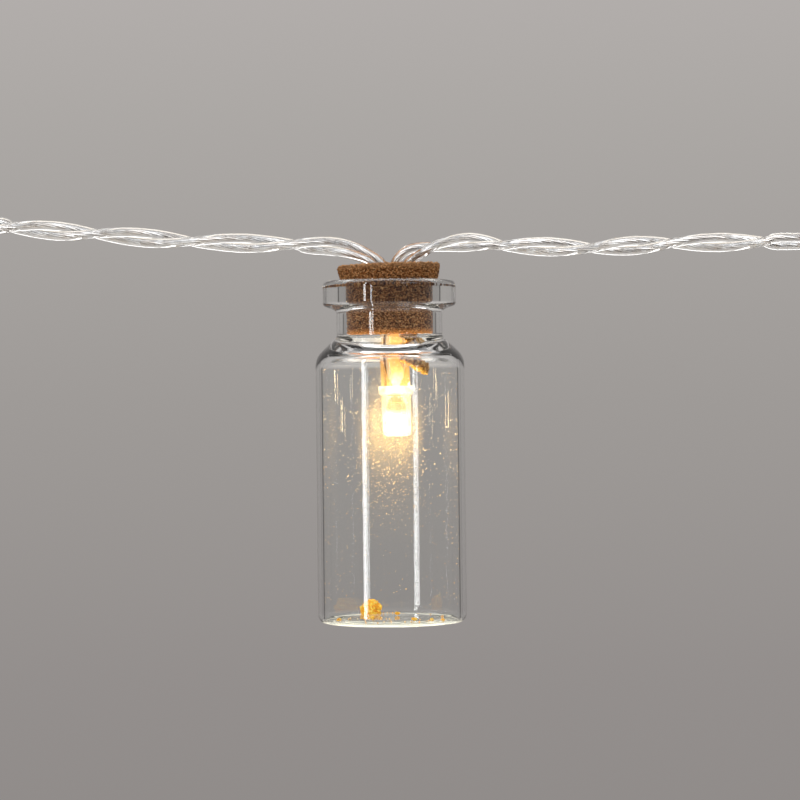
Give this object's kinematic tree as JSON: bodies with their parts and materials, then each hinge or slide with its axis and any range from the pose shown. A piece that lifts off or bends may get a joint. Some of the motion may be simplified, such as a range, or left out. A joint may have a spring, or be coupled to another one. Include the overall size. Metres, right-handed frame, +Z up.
{
  "type": "fairy light jar",
  "caption": "Corked glass vial with a warm white LED in a clear sleeve, hung on a twisted pair of clear wires that end in two-pole couplers",
  "frame": {"origin": "on the taut string's line, 3 mm above the middle of the cork's top, where the string holds the jar up", "axes": "+Z up along the jar, +X to the right along the string, +Y away from the front"},
  "size_m": [0.1622, 0.022, 0.0674],
  "materials": {
    "vial_glass": "clear polished glass, faintly green at the base",
    "cork": "rough agglomerated cork",
    "crumbs": "rough cork crumbs",
    "clear_plastic": "clear moulded plastic",
    "led_resin": "clear cast resin",
    "phosphor": "glowing phosphor",
    "tinned_metal": "tinned wire and leads",
    "white_plastic": "white insulating plastic",
    "wire_jacket": "clear soft plastic over tinned strands",
    "coupler_plastic": "clear hard plastic",
    "coupler_boot": "soft translucent plastic"
  },
  "bodies": {
    "string": {"left_back_wire": "wire_jacket", "left_front_wire": "wire_jacket", "right_front_wire": "wire_jacket", "right_back_wire": "wire_jacket", "left_coupler_boot": "coupler_boot", "left_coupler_shell": "coupler_plastic", "left_socket_insert": "white_plastic", "left_socket_contact_1": "tinned_metal", "left_socket_contact_2": "tinned_metal", "right_coupler_boot": "coupler_boot", "right_coupler_shell": "coupler_plastic", "right_plug_insert": "white_plastic", "right_plug_pin_1": "tinned_metal", "right_plug_pin_2": "tinned_metal"},
    "jar": {"cork_stopper": "cork", "cork_chip": "cork", "lamp_sleeve": "clear_plastic", "lamp_cap": "clear_plastic", "led_lens": "led_resin", "led_cathode_lead": "tinned_metal", "led_anode_lead": "tinned_metal", "led_chip": "phosphor", "lead_insulation": "white_plastic", "front_splice": "tinned_metal", "back_splice": "tinned_metal", "left_back_wire_tail": "wire_jacket", "left_front_wire_tail": "wire_jacket", "right_front_wire_tail": "wire_jacket", "right_back_wire_tail": "wire_jacket", "left_back_bare_core": "tinned_metal", "left_front_bare_core": "tinned_metal", "right_front_bare_core": "tinned_metal", "right_back_bare_core": "tinned_metal"},
    "vial": {"glass_vial": "vial_glass", "cork_crumb_lump": "crumbs", "cork_crumb_1": "crumbs", "cork_crumb_2": "crumbs", "cork_crumb_3": "crumbs", "cork_crumb_4": "crumbs", "cork_crumb_5": "crumbs", "cork_crumb_6": "crumbs"}
  },
  "joints": [
    {"name": "jar_swing", "type": "hinge", "parent": "string", "child": "jar", "pos_m": [0, 0, 0], "axis": [1, 0, 0], "range_deg": [-35, 35]},
    {"name": "vial_pull_off", "type": "slide", "parent": "jar", "child": "vial", "axis": [0, 0, -1], "range_m": [0, 0.03]}
  ]
}
